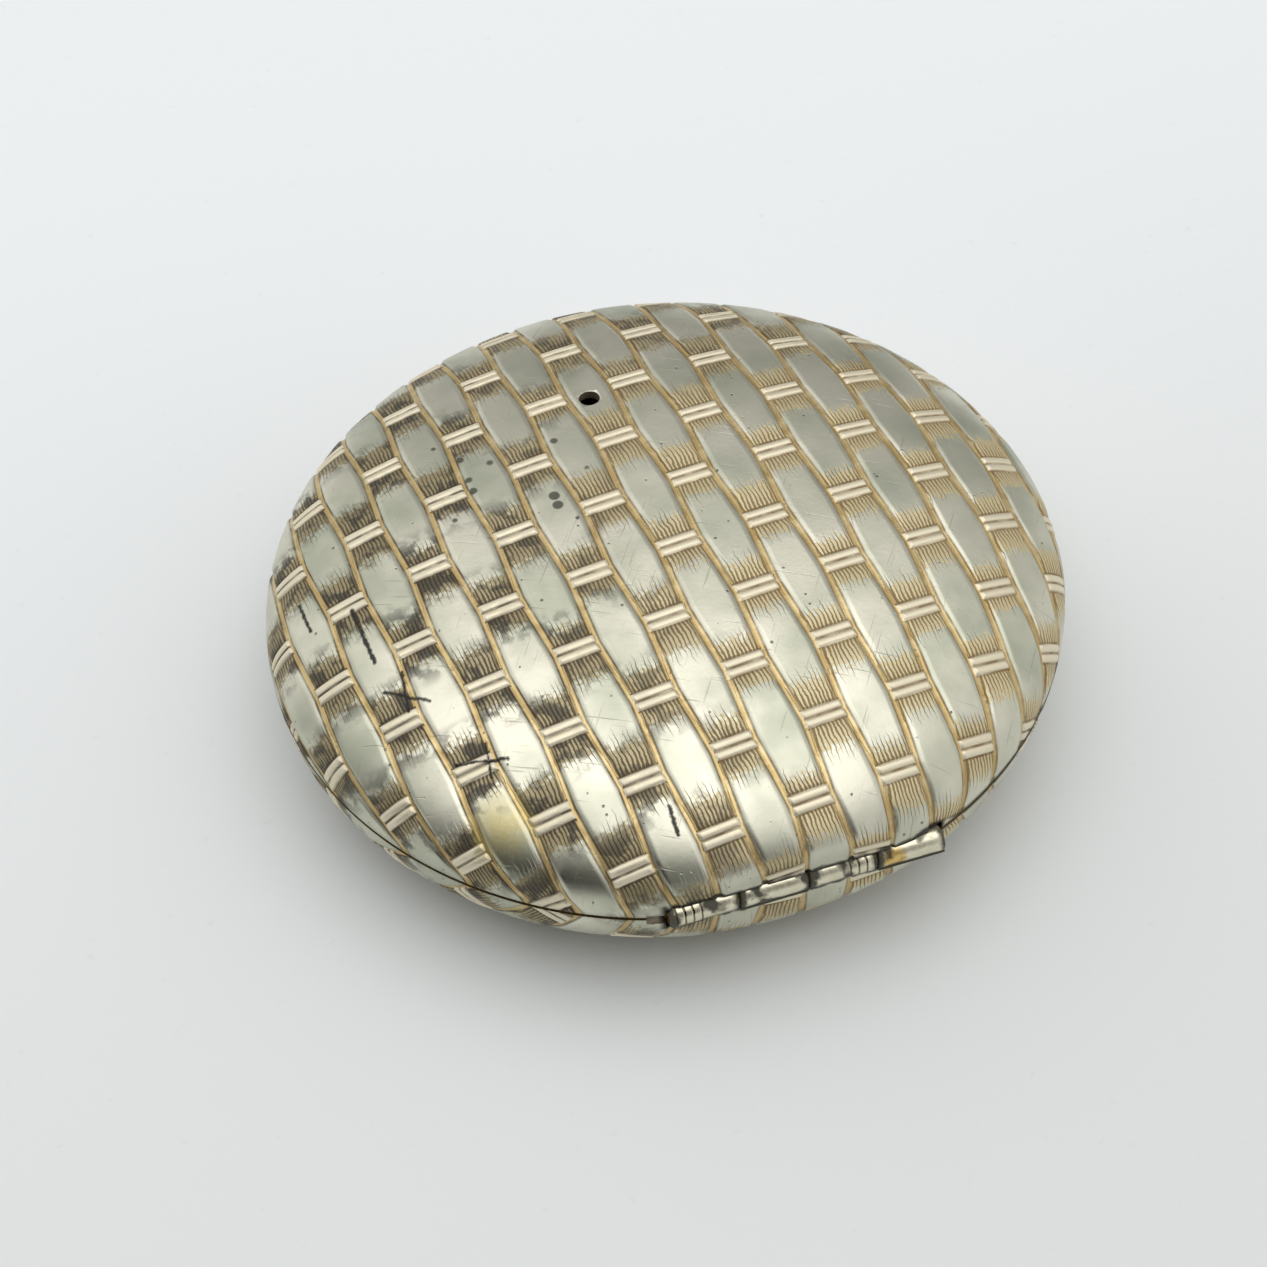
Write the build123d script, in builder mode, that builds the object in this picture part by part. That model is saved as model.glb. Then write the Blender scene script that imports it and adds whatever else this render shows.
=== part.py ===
from build123d import *
import os

# Pocket box: a low oval pebble in silver-plated sheet, a domed lid hinged to a round-bellied base.
# Frame: origin at the middle of the flat the box rests on, +X along the hinge, +Y to the opening
# edge, +Z up. Millimetres.

# Overall sizes
HALF_LENGTH = 30.0  # along the hinge
HALF_DEPTH = 28.5  # from the hinge side to the opening side
BASE_DEPTH = 9.4  # from the rest face up to the seam
LID_RISE = 8.0  # from the seam up to the crown
WALL = 0.7  # sheet thickness
SEAM_GAP = 0.1  # between the lid's edge and the base's

# Lid section: crown handle as a share of the half depth, shoulder handle above the seam
CROWN_SHARE = 0.705
SHOULDER_RISE = 5.1
LID_LAND = 0.4  # upright edge above the seam

# Base section
BASE_LAND = 0.3  # upright edge below the seam
BELLY_DROP = 6.2  # handle of the belly below the seam
REST_HALF_DEPTH = 16.0  # half depth of the flat it rests on
TURN_REACH = 6.0  # handle from the rest flat out into the belly
REST_TRIM = 0.02  # ground off underneath to leave a true flat

# Hinge
HINGE_INSET = 1.7  # axis inside the outline
HINGE_DROP = 0.1  # axis below the seam
HINGE_SHIFT = 1.2  # middle of the hinge along X
KNUCKLE_LENGTH = 5.05
KNUCKLE_COUNT = 4
KNUCKLE_GAP = 0.08  # between neighbours
KNUCKLE_RADIUS = 0.95
PIN_RADIUS = 0.5
PIN_CLEARANCE = 0.03
CHANNEL_CLEARANCE = 0.15  # between a knuckle and the channel it turns in
CHANNEL_END = 0.12
PIN_POCKET = 1.3  # the channel runs on past the left knuckle, where the pin goes in
FLAT_REACH = 0.45  # the flat on the hinge side lies this far outside the axis
FOOT_WIDTH = 0.8  # strap from a knuckle to its shell
BEARER_WIDTH = 2.0
BEARER_HEIGHT = 2.0

# Collar that the lid closes over, soldered inside the base
COLLAR_RISE = 1.7
COLLAR_DROP = 2.2
COLLAR_WALL = 0.9  # from the sheet's inner face at the seam
COLLAR_CLEARANCE = 0.15  # to the lid's inner face
HINGE_WINDOW = 1.6  # the collar stops this far short of the channel

# Catch on the opening side
NIB_LENGTH = 4.0
NIB_RISE = 0.3  # its lower edge above the seam
NIB_HEIGHT = 0.6
NIB_CLEARANCE = 0.06  # to the lid's inner face

# Small hole through the lid
HOLE_RADIUS = 0.8
HOLE_X = -1.4
HOLE_Y = 14.1

# Worked out from the sizes above
SEAM = BASE_DEPTH
STRETCH = HALF_LENGTH / HALF_DEPTH
TOP = SEAM + LID_RISE
AXIS_Y = -(HALF_DEPTH - HINGE_INSET)
AXIS_Z = SEAM - HINGE_DROP
FLAT_Y = AXIS_Y - FLAT_REACH
CHANNEL_RADIUS = KNUCKLE_RADIUS + CHANNEL_CLEARANCE
HINGE_LENGTH = KNUCKLE_COUNT * KNUCKLE_LENGTH
HINGE_LEFT = HINGE_SHIFT - HINGE_LENGTH / 2
HINGE_RIGHT = HINGE_SHIFT + HINGE_LENGTH / 2
CHANNEL_LEFT = HINGE_LEFT - PIN_POCKET
CHANNEL_RIGHT = HINGE_RIGHT + CHANNEL_END
CHANNEL_LENGTH = CHANNEL_RIGHT - CHANNEL_LEFT
BEARER_Y = AXIS_Y + BEARER_WIDTH / 2
COLLAR_HALF_DEPTH = HALF_DEPTH - WALL - COLLAR_WALL
COLLAR_HALF_LENGTH = COLLAR_HALF_DEPTH * STRETCH
COLLAR_OUTER_DEPTH = HALF_DEPTH - WALL - COLLAR_CLEARANCE
COLLAR_OUTER_LENGTH = COLLAR_OUTER_DEPTH * STRETCH
WINDOW_MIDDLE = (CHANNEL_LEFT + CHANNEL_RIGHT) / 2
WINDOW_LENGTH = CHANNEL_LENGTH + 2 * HINGE_WINDOW

os.makedirs("parts", exist_ok=True)


def hinge_side(face_y):
    """Block outside the flat on the hinge side."""
    with BuildPart() as block:
        with Locations((0, face_y, 0)):
            Box(2 * HALF_LENGTH, HALF_DEPTH, 2 * TOP, align=(Align.CENTER, Align.MAX, Align.MIN))
    return block.part


def lid_dome(inset):
    """Solid under the lid's face, inset from the outside: crown, soft shoulder, upright edge."""
    edge = HALF_DEPTH - inset
    top = SEAM + LID_RISE - inset
    with BuildPart() as dome:
        with BuildSketch(Plane.XZ):
            with BuildLine():
                face = Bezier(
                    (0, top),
                    (CROWN_SHARE * edge, top),
                    (edge, SEAM + SHOULDER_RISE - inset),
                    (edge, SEAM + LID_LAND),
                )
                Polyline(face @ 1, (edge, SEAM + SEAM_GAP), (0, SEAM + SEAM_GAP), face @ 0)
            make_face()
        revolve(axis=Axis.Z)
        scale(by=(STRETCH, 1, 1))
        add(hinge_side(FLAT_Y + inset), mode=Mode.SUBTRACT)
    return dome.part


def base_bowl(inset):
    """Solid inside the base's face, inset from the outside: upright edge, belly, rest flat."""
    edge = HALF_DEPTH - inset
    with BuildPart() as bowl:
        with BuildSketch(Plane.XZ):
            with BuildLine():
                face = Bezier(
                    (edge, SEAM - BASE_LAND),
                    (edge, SEAM - BELLY_DROP + inset),
                    (REST_HALF_DEPTH + TURN_REACH - inset, inset - REST_TRIM),
                    (REST_HALF_DEPTH, inset - REST_TRIM),
                )
                Polyline(face @ 1, (0, inset - REST_TRIM), (0, SEAM), (edge, SEAM), face @ 0)
            make_face()
        revolve(axis=Axis.Z)
        scale(by=(STRETCH, 1, 1))
        with Locations((0, 0, inset)):
            Box(
                2 * HALF_LENGTH,
                2 * HALF_DEPTH,
                BASE_DEPTH,
                align=(Align.CENTER, Align.CENTER, Align.MAX),
                mode=Mode.SUBTRACT,
            )
        add(hinge_side(FLAT_Y + inset), mode=Mode.SUBTRACT)
    return bowl.part


def hinge_rod(left, right, radius):
    """Round bar on the hinge axis between two places along X."""
    with BuildPart() as rod:
        with BuildSketch(Plane.YZ.offset(left)):
            with Locations((AXIS_Y, AXIS_Z)):
                Circle(radius)
        extrude(amount=right - left)
    return rod.part


def knuckle(left, right, side):
    """Tube on the hinge axis, with a strap that reaches the channel's wall on one side."""
    with BuildPart() as tube:
        with Locations(((left + right) / 2, AXIS_Y, AXIS_Z)):
            Box(
                right - left,
                FOOT_WIDTH,
                2 * CHANNEL_RADIUS,
                align=(Align.CENTER, Align.CENTER, side),
            )
        add(hinge_rod(left, right, CHANNEL_RADIUS), mode=Mode.INTERSECT)
        add(hinge_rod(left, right, KNUCKLE_RADIUS))
        add(hinge_rod(left, right, PIN_RADIUS + PIN_CLEARANCE), mode=Mode.SUBTRACT)
    return tube


lid_hollow = lid_dome(WALL)
base_hollow = base_bowl(WALL)
channel = hinge_rod(CHANNEL_LEFT, CHANNEL_RIGHT, CHANNEL_RADIUS)
with BuildPart() as collar_space:
    add(base_hollow)
    add(lid_dome(WALL + COLLAR_CLEARANCE))
    with BuildSketch(Plane.XY.offset(SEAM)):
        Ellipse(COLLAR_OUTER_LENGTH, COLLAR_OUTER_DEPTH)
    extrude(amount=SEAM_GAP)

# Lid: domed oval shell with a channel along the hinge and one small hole near the opening side
with BuildPart() as lid_shell:
    add(lid_dome(0))
    add(lid_hollow, mode=Mode.SUBTRACT)
    add(channel, mode=Mode.SUBTRACT)
    with Locations((HOLE_X, HOLE_Y, SEAM)):
        Cylinder(HOLE_RADIUS, TOP, align=(Align.CENTER, Align.CENTER, Align.MIN), mode=Mode.SUBTRACT)

# Base: the same oval with a round belly, flat underneath
with BuildPart() as base_shell:
    add(base_bowl(0))
    add(base_hollow, mode=Mode.SUBTRACT)
    add(channel, mode=Mode.SUBTRACT)

# Bearers: bars soldered inside each shell along the hinge, which keep its thin edge straight
with BuildPart() as lid_joint_bearer:
    with Locations((HINGE_SHIFT, BEARER_Y, SEAM)):
        Box(HINGE_LENGTH, BEARER_WIDTH, BEARER_HEIGHT, align=(Align.CENTER, Align.CENTER, Align.MIN))
    add(channel, mode=Mode.SUBTRACT)
    add(lid_hollow, mode=Mode.INTERSECT)

with BuildPart() as base_joint_bearer:
    with Locations((HINGE_SHIFT, BEARER_Y, SEAM)):
        Box(HINGE_LENGTH, BEARER_WIDTH, BEARER_HEIGHT, align=(Align.CENTER, Align.CENTER, Align.MAX))
    add(channel, mode=Mode.SUBTRACT)
    add(base_hollow, mode=Mode.INTERSECT)

# Hinge: four knuckles on one pin, turn about on the lid and on the base
knuckle_names = ["lid_knuckle_left", "base_knuckle_left", "lid_knuckle_right", "base_knuckle_right"]
knuckles = []
for index, name in enumerate(knuckle_names):
    start = HINGE_LEFT + index * KNUCKLE_LENGTH + KNUCKLE_GAP / 2
    side = Align.MIN if name.startswith("lid") else Align.MAX
    tube = knuckle(start, start + KNUCKLE_LENGTH - KNUCKLE_GAP, side)
    tube.part.label = name
    knuckles.append(tube)

with BuildPart() as hinge_pin:
    add(hinge_rod(HINGE_LEFT, HINGE_RIGHT, PIN_RADIUS))

# Collar: oval ring soldered inside the base's edge and standing above the seam, where it follows
# the lid's inner face, open at the hinge
with BuildPart() as base_collar:
    with BuildSketch(Plane.XY.offset(SEAM - COLLAR_DROP)):
        Ellipse(HALF_LENGTH, HALF_DEPTH)
        Ellipse(COLLAR_HALF_LENGTH, COLLAR_HALF_DEPTH, mode=Mode.SUBTRACT)
    extrude(amount=COLLAR_DROP + COLLAR_RISE)
    add(collar_space.part, mode=Mode.INTERSECT)
    with Locations((WINDOW_MIDDLE, AXIS_Y, SEAM)):
        Box(WINDOW_LENGTH, HALF_DEPTH, 2 * BASE_DEPTH, mode=Mode.SUBTRACT)

# Nib: low bar on the collar that the lid snaps over
with BuildPart() as catch_nib:
    with Locations((0, HALF_DEPTH, SEAM + NIB_RISE)):
        Box(NIB_LENGTH, HALF_DEPTH, NIB_HEIGHT, align=(Align.CENTER, Align.CENTER, Align.MIN))
    add(lid_dome(WALL + NIB_CLEARANCE), mode=Mode.INTERSECT)
    add(lid_dome(WALL + COLLAR_CLEARANCE), mode=Mode.SUBTRACT)

lid_shell.part.label = "lid_shell"
base_shell.part.label = "base_shell"
lid_joint_bearer.part.label = "lid_joint_bearer"
base_joint_bearer.part.label = "base_joint_bearer"
hinge_pin.part.label = "hinge_pin"
base_collar.part.label = "base_collar"
catch_nib.part.label = "catch_nib"
shells = [lid_shell, base_shell]
fittings = [lid_joint_bearer, base_joint_bearer, hinge_pin, base_collar, catch_nib]
for piece in shells + fittings + knuckles:
    export_step(piece.part, f"parts/{piece.part.label}.step")
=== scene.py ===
import math

import bpy
import numpy as np
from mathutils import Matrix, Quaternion, Vector


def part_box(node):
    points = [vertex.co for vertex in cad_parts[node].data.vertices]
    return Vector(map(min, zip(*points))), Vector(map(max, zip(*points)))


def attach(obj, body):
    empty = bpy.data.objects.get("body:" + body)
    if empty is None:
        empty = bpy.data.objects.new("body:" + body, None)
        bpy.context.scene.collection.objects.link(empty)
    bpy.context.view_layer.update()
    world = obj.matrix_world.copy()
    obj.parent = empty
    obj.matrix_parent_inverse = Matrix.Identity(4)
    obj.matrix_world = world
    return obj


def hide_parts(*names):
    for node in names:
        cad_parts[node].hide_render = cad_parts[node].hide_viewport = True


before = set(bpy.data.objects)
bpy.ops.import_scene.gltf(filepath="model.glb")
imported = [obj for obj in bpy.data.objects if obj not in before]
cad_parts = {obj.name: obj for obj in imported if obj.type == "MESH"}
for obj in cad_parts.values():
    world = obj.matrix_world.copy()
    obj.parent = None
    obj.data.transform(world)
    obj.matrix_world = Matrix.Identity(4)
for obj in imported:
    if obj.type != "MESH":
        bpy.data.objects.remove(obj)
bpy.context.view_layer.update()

# ----------------------------------------------------------------------
# Lid. A domed oval raised from thin brass sheet, silver plated outside and gilt inside. A basket
# weave is cut into the outside by hand: upright ribbons, each crossed by short bars of two round
# cords, with a narrow lane between neighbours. Its sizes are in mm until a mesh is written.
MM = 0.001
lid_low, lid_high = (np.array(corner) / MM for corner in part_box("lid_shell"))
base_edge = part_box("base_shell")[1][2] / MM
half_length, half_depth, crown = lid_high
lid_edge = lid_low[2]
flat_y = lid_low[1]
sheet = 0.7  # wall of both shells
crown_reach = 0.705  # how far the crown's curve is pulled out, as a share of the half depth
shoulder_rise = 5.1  # and how far the side's is pulled up
side_rise = 0.4  # the side is upright to here
weave_turn = math.radians(5)  # the weave was set out this far askew to the hinge

ribbon_pitch = 3.486  # from one ribbon to the next
bar_pitch = 11.62  # from one bar to the next on the same ribbon
middle_column = -1.043  # the lid's middle, counted in ribbons
middle_row = 2.646  # and in bars, of which a row is half a bar pitch
closing_in = 0.05  # how much tighter the weave gets towards the shoulder
belly_swell = 0.065  # a ribbon widens by this between its bars
half_bar = 0.135  # half a bar, in rows
cord_middle = 0.068  # each of a bar's two cords, in rows from the bar's middle
cord_half = 0.062
bar_end = 0.462  # where a bar starts to round off, in ribbons
lane_start = 0.425  # from a ribbon's middle to the lane beside it
lane_floor = -0.17
ribbon_dip = -0.10  # a ribbon goes down this far to pass under a bar
dip_start = 0.42
turned_edge = 0.12  # rounding of both shells' edges

# Grid lines over one ribbon and over one row, close together where the cuts are
ribbon_half = [0.06, 0.18, 0.30, 0.375, 0.42, 0.46]
ribbon_lines = [-0.5] + [-s for s in ribbon_half[::-1]] + ribbon_half
row_half = [0.012, 0.03, 0.05, 0.07, 0.09, 0.11, 0.13, 0.15, 0.19, 0.25, 0.32, 0.41]
row_lines = [-s for s in row_half[::-1]] + [0.0] + row_half + [0.5]


def bezier(start, leave, arrive, end, steps=400):
    """Points on a cubic curve in a half section, as distance from the middle and height."""
    t = np.linspace(0, 1, steps)[:, None]
    start, leave, arrive, end = (np.array(point, float) for point in (start, leave, arrive, end))
    near = (1 - t) ** 3 * start + 3 * (1 - t) ** 2 * t * leave
    return near + 3 * (1 - t) * t**2 * arrive + t**3 * end


def smooth(low, high, value):
    """Soft step from 0 at low to 1 at high."""
    t = np.clip((value - low) / (high - low), 0, 1)
    return t * t * (3 - 2 * t)


def keep_flat(y, face):
    """Blend the oval into the flat along the hinge."""
    soft = 0.35
    return (y + face + np.sqrt((y - face) ** 2 + soft**2)) / 2


def run_along(section):
    """Distance along a half section from its middle, in half depths."""
    steps = np.hypot(*np.diff(section, axis=0).T)
    return np.concatenate([[0], np.cumsum(steps)]) / half_depth


def weave_depth(share, turn):
    """Height of the cut surface below the sheet's face, in mm."""
    across, from_bar = np.abs(share), np.abs(turn)
    face = smooth(lane_start + 0.012, lane_start - 0.04, across)
    dip = ribbon_dip * smooth(dip_start, half_bar, from_bar)
    ribbon = lane_floor + (dip - lane_floor) * face
    cord = np.sqrt(np.clip(1 - ((from_bar - cord_middle) / cord_half) ** 2, 0, 1))
    bar = lane_floor * (1 - cord * smooth(0.5, bar_end, across))
    return np.where(from_bar < half_bar, bar, ribbon)


def woven_shell(name, section, reach, inside):
    """Engraved shell: a grid of ribbons and rows is wrapped onto the half section, trimmed at the
    rim, then extruded over the edge and along the plain inside to its middle."""
    columns = np.arange(-12, 11)  # enough to pass the rim on every side
    rows = np.arange(-4, 10)
    fade = 0.012  # the cuts run out to nothing this near the rim
    u_lines = np.append(np.add.outer(columns[:-1], ribbon_lines).ravel(), columns[-1] - 0.5)
    v_lines = np.add.outer(rows, row_lines).ravel()
    bpy.ops.object.select_all(action="DESELECT")
    bpy.ops.mesh.primitive_grid_add(
        x_subdivisions=len(u_lines) - 1, y_subdivisions=len(v_lines) - 1, size=2
    )
    shell = bpy.context.object
    shell.name = name
    mesh = shell.data

    # Where each grid point lies in the flat weave, drawn in to the rim where it falls outside
    flat = np.empty(len(mesh.vertices) * 3)
    mesh.vertices.foreach_get("co", flat)
    flat = flat.reshape(-1, 3)
    u = u_lines[np.rint((flat[:, 0] + 1) / 2 * (len(u_lines) - 1)).astype(int)]
    v = v_lines[np.rint((flat[:, 1] + 1) / 2 * (len(v_lines) - 1)).astype(int)]
    column = np.floor(u + 0.5)
    turn = np.mod(v - column + 1, 2) - 1
    width = 1 + 2 * belly_swell * (2 * np.abs(turn) - 1)
    x = (column + (u - column) * width - middle_column) * ribbon_pitch
    y = (middle_row - v) * bar_pitch / 2
    out = np.hypot(x / half_length, y / half_depth)
    rim = reach[-1]
    within = out < rim - fade / 3
    draw = np.where(within, 1, rim / np.maximum(out, 0.01))
    x, y, out = x * draw, y * draw, out * draw
    v = middle_row - y * 2 / bar_pitch
    turn = np.mod(v - column + 1, 2) - 1
    width = 1 + 2 * belly_swell * (2 * np.abs(turn) - 1)
    share = (x / ribbon_pitch + middle_column - column) / width

    # Wrap it onto the section
    way = np.stack([x / half_length, y / half_depth], 1) / np.maximum(out, 1e-6)[:, None]
    across_way = np.stack([-way[:, 1], way[:, 0]], 1)
    way = way * math.cos(weave_turn) + across_way * math.sin(weave_turn)
    radius = np.interp(out, reach, section[:, 0])
    place = np.stack(
        [
            way[:, 0] * radius * half_length / half_depth,
            keep_flat(way[:, 1] * radius, flat_y),
            np.interp(out, reach, section[:, 1]),
        ],
        axis=1,
    )
    depth = weave_depth(share, turn) * smooth(rim, rim - fade, out)
    mesh.vertices.foreach_set("co", (place * MM).ravel())
    mesh.attributes.new("way", "FLOAT_VECTOR", "POINT").data.foreach_set(
        "vector", np.column_stack([way, depth]).ravel()
    )

    # Two maps: the running count of ribbons and rows, and the place within one ribbon
    corner_vertex = np.empty(len(mesh.loops), int)
    mesh.loops.foreach_get("vertex_index", corner_vertex)
    corners = corner_vertex.reshape(-1, 4)
    count_u = (column + share)[corners]
    count_v = v[corners]
    face_column = np.floor(u[corners].mean(1) + 0.5)[:, None]
    face_v = count_v.mean(1)[:, None]
    face_turn = np.mod(face_v - face_column + 1, 2) - 1
    motif = np.stack([count_u - face_column, count_v - face_v + face_turn], -1)
    while mesh.uv_layers:
        mesh.uv_layers.remove(mesh.uv_layers[0])
    weave = np.stack([count_u, count_v], -1)
    mesh.uv_layers.new(name="weave").data.foreach_set("uv", weave.ravel())
    mesh.uv_layers.new(name="motif").data.foreach_set("uv", motif.ravel())

    # Trim outside the rim
    outside = ~within[corners].any(axis=1)
    bpy.ops.object.mode_set(mode="EDIT")
    bpy.ops.mesh.select_all(action="DESELECT")
    bpy.ops.object.mode_set(mode="OBJECT")
    mesh.polygons.foreach_set("select", outside)
    bpy.ops.object.mode_set(mode="EDIT")
    bpy.ops.mesh.select_mode(type="FACE")
    bpy.ops.mesh.delete(type="FACE")
    bpy.ops.mesh.select_mode(type="VERT")
    bpy.ops.mesh.select_all(action="SELECT")
    bpy.ops.mesh.delete_loose()
    bpy.ops.mesh.select_all(action="SELECT")
    bpy.ops.mesh.normals_make_consistent(inside=False)
    bpy.ops.object.mode_set(mode="OBJECT")

    # Cut the weave in along the normals
    count = len(mesh.vertices)
    place, normal, way = np.empty(count * 3), np.empty(count * 3), np.empty(count * 3)
    mesh.vertices.foreach_get("co", place)
    mesh.vertex_normals.foreach_get("vector", normal)
    mesh.attributes["way"].data.foreach_get("vector", way)
    way = way.reshape(-1, 3)
    lift = np.sign((normal.reshape(-1, 3)[:, 2] * (section[0, 1] - section[-1, 1])).sum())
    place = place.reshape(-1, 3) + lift * normal.reshape(-1, 3) * way[:, 2:] * MM
    mesh.vertices.foreach_set("co", place.ravel())

    # Extrude the rim over the edge and along the inside, a ring at a time, and close the middle
    engraved_faces = len(mesh.polygons)
    bpy.ops.object.mode_set(mode="EDIT")
    bpy.ops.mesh.select_mode(type="EDGE")
    bpy.ops.mesh.select_all(action="DESELECT")
    bpy.ops.mesh.select_non_manifold()
    for ring_radius, ring_height, ring_inset in inside:
        start = len(mesh.vertices)
        bpy.ops.mesh.extrude_edges_move()
        bpy.ops.object.mode_set(mode="OBJECT")
        count = len(mesh.vertices)
        place, way = np.empty(count * 3), np.empty(count * 3)
        mesh.vertices.foreach_get("co", place)
        mesh.attributes["way"].data.foreach_get("vector", way)
        place, way = place.reshape(-1, 3), way.reshape(-1, 3)[start:]
        place[start:, 0] = way[:, 0] * ring_radius * half_length / half_depth * MM
        place[start:, 1] = keep_flat(way[:, 1] * ring_radius, flat_y + ring_inset) * MM
        place[start:, 2] = ring_height * MM
        mesh.vertices.foreach_set("co", place.ravel())
        bpy.ops.object.mode_set(mode="EDIT")
    bpy.ops.mesh.merge(type="CENTER")
    bpy.ops.mesh.select_all(action="SELECT")
    bpy.ops.mesh.normals_make_consistent(inside=False)
    bpy.ops.object.mode_set(mode="OBJECT")
    plain = np.arange(len(mesh.polygons)) >= engraved_faces
    mesh.polygons.foreach_set("material_index", plain.astype(int))
    bpy.ops.object.shade_smooth()
    return shell


lid_section = np.vstack([
    bezier(
        (0, crown),
        (crown_reach * half_depth, crown),
        (half_depth, base_edge + shoulder_rise),
        (half_depth, base_edge + side_rise),
    ),
    [(half_depth, lid_edge + turned_edge)],
])
inner_depth = half_depth - sheet
lid_inside = bezier(
    (inner_depth, base_edge + side_rise),
    (inner_depth, base_edge + shoulder_rise - sheet),
    (crown_reach * inner_depth, crown - sheet),
    (0, crown - sheet),
    steps=14,
)
lid_rings = [
    (half_depth - turned_edge * 0.3, lid_edge + turned_edge * 0.3, 0.0),
    (half_depth - turned_edge, lid_edge, turned_edge),
    (inner_depth, lid_edge, sheet),
] + [(radius, height, sheet) for radius, height in lid_inside]

# The weave keeps its count over the crown and closes in to the shoulder, then follows the sheet
lid_run = run_along(lid_section)
lid_radius = lid_section[:, 0] / half_depth
lid_reach = lid_radius.copy()
for _ in range(30):
    lid_reach = lid_radius / (1 - closing_in * lid_reach**2)
shoulder = np.searchsorted(lid_radius, 0.86)
before = shoulder - 9
slope = (lid_reach[shoulder] - lid_reach[before]) / (lid_run[shoulder] - lid_run[before])
beyond = lid_reach[shoulder] + slope * (lid_run - lid_run[shoulder])
lid_reach = np.where(np.arange(len(lid_run)) < shoulder, lid_reach, beyond)

lid_skin = woven_shell("lid_skin", lid_section, lid_reach, lid_rings)


def cut_away(shell, cutter):
    """Cut one closed shape out of a shell, and use it up."""
    cutter.data.materials.append(shell.data.materials[0])
    bpy.ops.object.select_all(action="DESELECT")
    bpy.context.view_layer.objects.active = shell
    shell.select_set(True)
    bpy.ops.object.modifier_add(type="BOOLEAN")
    cut = shell.modifiers[-1]
    cut.operation = "DIFFERENCE"
    cut.solver = "MANIFOLD"
    cut.object = cutter
    bpy.ops.object.modifier_apply(modifier=cut.name)
    bpy.data.objects.remove(cutter)


def linear(code):
    """Colour of an sRGB hex value, as the shaders read it."""
    parts = [int(code[i : i + 2], 16) / 255 for i in (1, 3, 5)]
    return [p / 12.92 if p <= 0.04045 else ((p + 0.055) / 1.055) ** 2.4 for p in parts] + [1.0]


def add_node(tree, kind, inputs=None, **settings):
    """Add one shader node, set it up, fill or link its inputs, and return its first live output."""
    node = tree.nodes.new(kind)
    for setting, value in settings.items():
        setattr(node, setting, value)
    for socket, value in (inputs or {}).items():
        if isinstance(value, bpy.types.NodeSocket):
            tree.links.new(value, node.inputs[socket])
        else:
            node.inputs[socket].default_value = value
    return next(output for output in node.outputs if output.enabled)


# Engraved silver plate: thin silver over brass, its faces dulled and scratched by a pocket, the
# short cuts at the ribbons' ends dark with old polish and the lanes worn down to warm brass.
engraved_silver = bpy.data.materials.new("engraved_silver")
engraved_silver.use_nodes = True
tree = engraved_silver.node_tree
plate = tree.nodes["Principled BSDF"]
place = add_node(tree, "ShaderNodeTexCoord").node.outputs["Object"]
weave_at = add_node(tree, "ShaderNodeUVMap", uv_map="weave")
motif_at = add_node(tree, "ShaderNodeUVMap", uv_map="motif")
count = add_node(tree, "ShaderNodeSeparateXYZ", {0: weave_at})
count_v = count.node.outputs["Y"]
share = add_node(tree, "ShaderNodeSeparateXYZ", {0: motif_at})
turn = share.node.outputs["Y"]
across = add_node(tree, "ShaderNodeMath", {0: share}, operation="ABSOLUTE")
from_bar = add_node(tree, "ShaderNodeMath", {0: turn}, operation="ABSOLUTE")
beyond_bar = add_node(tree, "ShaderNodeMath", {0: from_bar, 1: half_bar}, operation="SUBTRACT")

# Which end of which ribbon this is, and a number drawn for it
column = add_node(tree, "ShaderNodeMath", {0: count, 1: share}, operation="SUBTRACT")
column = add_node(tree, "ShaderNodeMath", {0: column}, operation="ROUND")
row = add_node(tree, "ShaderNodeMath", {0: count_v, 1: turn}, operation="SUBTRACT")
row = add_node(tree, "ShaderNodeMath", {0: row}, operation="ROUND")
side = add_node(tree, "ShaderNodeMath", {0: turn}, operation="SIGN")
ribbon_end = add_node(tree, "ShaderNodeCombineXYZ", {0: column, 1: row, 2: side})
luck = add_node(tree, "ShaderNodeTexWhiteNoise", {"Vector": ribbon_end}, noise_dimensions="3D")

# Unevenness at three real sizes: 0.35 mm grain, 1.3 mm blotches, 6 mm clouds
grain = add_node(tree, "ShaderNodeTexNoise", {"Vector": place, "Scale": 1 / (0.35 * MM), "Detail": 3.0})
blotch = add_node(tree, "ShaderNodeTexNoise", {"Vector": place, "Scale": 1 / (1.3 * MM), "Detail": 4.0})
cloud = add_node(tree, "ShaderNodeTexNoise", {"Vector": place, "Scale": 1 / (6 * MM), "Detail": 3.0})

# Dirt gathers on the left and at the back
spot_at = add_node(tree, "ShaderNodeSeparateXYZ", {0: place})
grime_side = add_node(
    tree,
    "ShaderNodeMapRange",
    {"Value": spot_at, "From Min": 6 * MM, "From Max": -16 * MM},
    interpolation_type="SMOOTHSTEP",
)
grime_back = add_node(
    tree,
    "ShaderNodeMapRange",
    {"Value": spot_at.node.outputs["Y"], "From Min": 6 * MM, "From Max": 24 * MM, "To Max": 0.8},
    interpolation_type="SMOOTHSTEP",
)
grime_side = add_node(tree, "ShaderNodeMath", {0: grime_side, 1: grime_back}, operation="MAXIMUM")

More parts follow.
